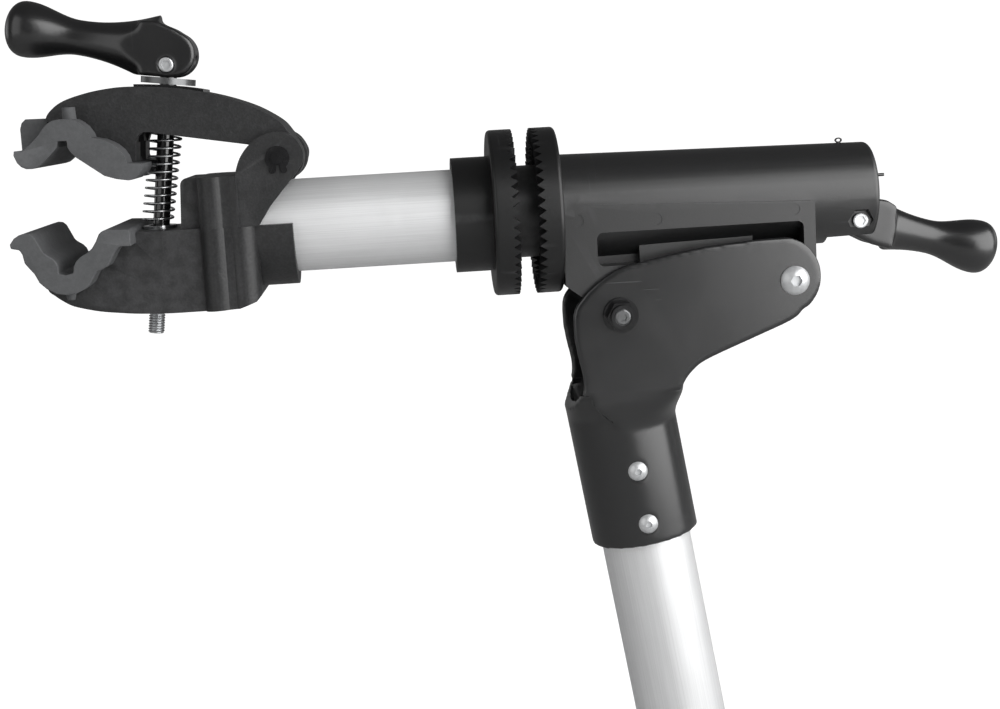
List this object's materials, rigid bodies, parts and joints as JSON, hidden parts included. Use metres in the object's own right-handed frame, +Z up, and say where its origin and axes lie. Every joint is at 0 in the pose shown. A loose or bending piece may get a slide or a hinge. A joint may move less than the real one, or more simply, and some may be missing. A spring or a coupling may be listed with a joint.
{
  "type": "bicycle repair stand",
  "caption": "Clamp head of a bicycle repair stand: cam and screw jaws with rubber pads on a tube arm, toothed clutch, lever housing and folding yoke on a mast tube.",
  "frame": {"origin": "centre of the open lower end of the mast tube", "axes": "+Z up, +X from the jaws towards the housing and its lever, along the level arm, +Y towards the far side of the clamp. The mast leans 8.6 degrees from +Z in the XZ plane."},
  "size_m": [0.4784, 0.082, 0.408],
  "materials": {
    "casting": "grained charcoal moulding",
    "housing": "fine grained black moulding",
    "ring": "matt black moulding",
    "lever": "satin black moulding",
    "yoke_paint": "satin black powder coat on steel",
    "tube": "bright brushed aluminium",
    "chrome": "bright chrome",
    "black_steel": "black oxide steel",
    "zinc": "bright zinc plated steel",
    "spring_steel": "bright spring wire",
    "pad_rubber": "matt mid-grey rubber",
    "bush": "plain grey plastic"
  },
  "bodies": {
    "mast": {"mast_tube": "tube", "yoke": "yoke_paint", "sleeve_screws": "chrome", "pivot_bolt": "chrome", "pivot_nut": "zinc", "stop_bolt": "black_steel", "stop_nut": "black_steel", "stop_washers": "black_steel", "stop_spacer": "zinc"},
    "head": {"head_housing": "housing", "rear_ring": "ring", "pivot_bush": "bush", "rear_cam_pin": "chrome", "wire_clip": "spring_steel"},
    "rear_lever": {"rear_lever": "lever", "draw_pin": "chrome"},
    "draw": {"drawbar": "zinc", "drawbar_nut": "zinc", "thrust_washer": "zinc"},
    "arm": {"clutch_hub": "ring", "spigot": "ring", "arm_tube": "tube", "lower_jaw": "casting", "upper_bracket": "casting", "casting_screws": "black_steel", "lower_pad": "pad_rubber", "spring_washer": "chrome"},
    "jaw_carrier": {"hinge_bush": "zinc", "hinge_pin": "black_steel", "hinge_clips": "black_steel"},
    "upper_jaw": {"upper_jaw": "casting", "upper_pad": "pad_rubber", "saddle_plate": "black_steel"},
    "nut": {"barrel_nut": "zinc"},
    "feed": {"clamp_spring": "spring_steel"},
    "rod": {"clamp_rod": "zinc", "clamp_cam_pin": "chrome"},
    "clamp_lever": {"clamp_lever": "lever"},
    "washers": {"cam_washers": "chrome"}
  },
  "joints": [
    {"name": "head_fold", "type": "hinge", "parent": "mast", "child": "head", "pos_m": [0.05516, 0, 0.25158], "axis": [0, 1, 0], "range_deg": [0, 90]},
    {"name": "clutch_slide", "type": "slide", "parent": "head", "child": "draw", "axis": [1, 0, 0], "range_m": [0, 0.0117]},
    {"name": "rear_lever_turn", "type": "hinge", "parent": "head", "child": "rear_lever", "pos_m": [0.09066, 0, 0.27758], "axis": [0, 1, 0], "range_deg": [0, 65]},
    {"name": "arm_turn", "type": "hinge", "parent": "draw", "child": "arm", "pos_m": [-0.10734, 0, 0.29058], "axis": [1, 0, 0], "continuous": true},
    {"name": "jaw_close", "type": "hinge", "parent": "arm", "child": "jaw_carrier", "pos_m": [-0.18794, 0, 0.32438], "axis": [0, -1, 0], "range_deg": [0, 5.3]},
    {"name": "jaw_squeeze", "type": "hinge", "parent": "jaw_carrier", "child": "upper_jaw", "pos_m": [-0.18794, 0, 0.32438], "axis": [0, -1, 0], "range_deg": [0, 9.6]},
    {"name": "rod_tilt", "type": "hinge", "parent": "arm", "child": "nut", "pos_m": [-0.25174, 0, 0.26858], "axis": [0, -1, 0], "range_deg": [0, 1.67]},
    {"name": "rod_feed", "type": "slide", "parent": "nut", "child": "feed", "axis": [-0.1305, 0, -0.9914], "range_m": [0, 0.005], "deforming": ["clamp_spring"]},
    {"name": "lever_spin", "type": "hinge", "parent": "feed", "child": "rod", "pos_m": [-0.25174, 0, 0.26858], "axis": [-0.1305, 0, -0.9914], "range_deg": [0, 1440]},
    {"name": "clamp_lever_turn", "type": "hinge", "parent": "rod", "child": "clamp_lever", "pos_m": [-0.2383, 0, 0.37069], "axis": [0, 1, 0], "range_deg": [0, 90]},
    {"name": "washer_push", "type": "slide", "parent": "rod", "child": "washers", "axis": [-0.1305, 0, -0.9914], "range_m": [0, 0.00725]}
  ],
  "couplings": [
    {"joint": "rear_lever_turn", "follows": "clutch_slide", "rad_per_m": 96.963},
    {"joint": "jaw_close", "follows": "lever_spin", "ratio": 0.0036805},
    {"joint": "rod_tilt", "follows": "lever_spin", "ratio": 0.0011597},
    {"joint": "rod_feed", "follows": "lever_spin", "m_per_rad": 0.00019894},
    {"joint": "jaw_squeeze", "follows": "clamp_lever_turn", "ratio": 0.10667},
    {"joint": "washer_push", "follows": "clamp_lever_turn", "m_per_rad": 0.0046155}
  ]
}
